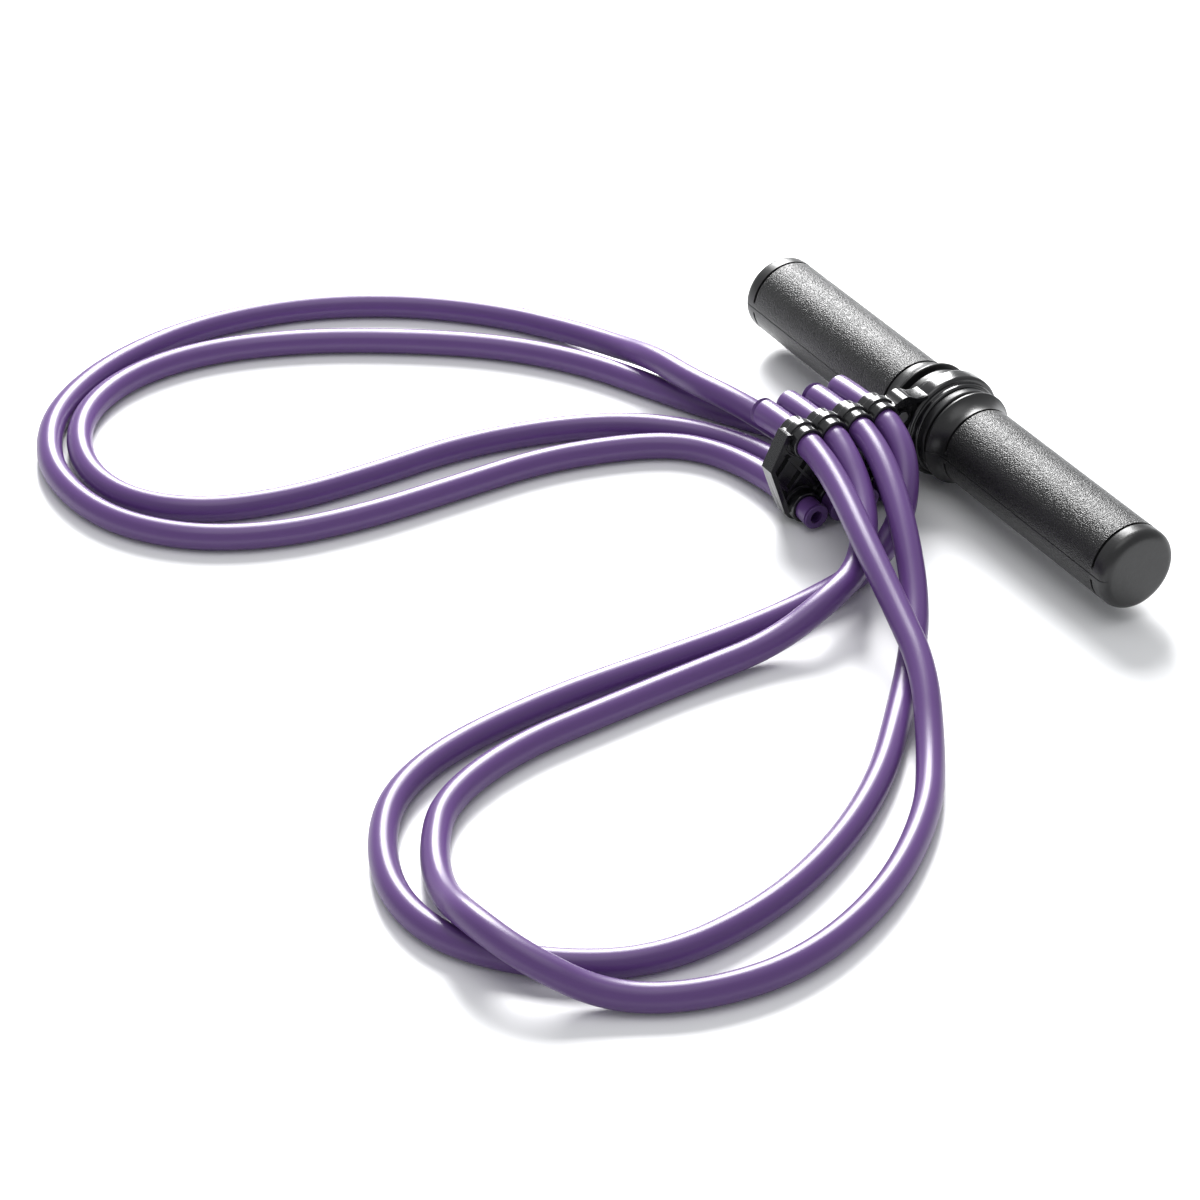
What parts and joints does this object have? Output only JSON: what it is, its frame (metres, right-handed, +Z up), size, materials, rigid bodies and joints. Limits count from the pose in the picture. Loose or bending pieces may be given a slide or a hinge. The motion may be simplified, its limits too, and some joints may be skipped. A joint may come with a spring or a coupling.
{
  "type": "resistance band handle with elastic tubes",
  "caption": "Black swivel bar handle in a flat clip bracket, with purple elastic rubber tubes looped from the bracket's top and bottom clips.",
  "frame": {"origin": "on the floor, under the middle of the box of the bar handle and its bracket, with the rubber tubes left out", "axes": "+Z up from the floor, +Y along the bar handle, -X from the handle towards the bracket's nose and the tube loops"},
  "size_m": [0.3342, 0.4757, 0.042],
  "materials": {
    "grip_plastic": "fine pebble grain on the grips, smooth satin on collars and ends",
    "bracket_plastic": "moulded gloss",
    "bush_plastic": "satin",
    "washer_plastic": "satin",
    "core_steel": "drawn tube",
    "screw_steel": "dark zinc",
    "tube_rubber": "satin latex"
  },
  "bodies": {
    "bracket": {"bracket_front": "bracket_plastic", "bracket_back": "bracket_plastic", "swivel_bush_front": "bush_plastic", "swivel_bush_back": "bush_plastic", "bracket_screws": "screw_steel", "tube_near_outer": "tube_rubber", "tube_near_inner": "tube_rubber", "tube_far_outer": "tube_rubber", "tube_far_inner": "tube_rubber"},
    "handle": {"grip_shell_front_upper": "grip_plastic", "grip_shell_front_lower": "grip_plastic", "grip_shell_back_upper": "grip_plastic", "grip_shell_back_lower": "grip_plastic", "thrust_washer_front": "washer_plastic", "thrust_washer_back": "washer_plastic", "core_tube": "core_steel", "shell_screws": "screw_steel"}
  },
  "joints": [
    {"name": "handle_spin", "type": "hinge", "parent": "bracket", "child": "handle", "pos_m": [0.0305, 0, 0.021], "axis": [0, 1, 0], "continuous": true}
  ]
}
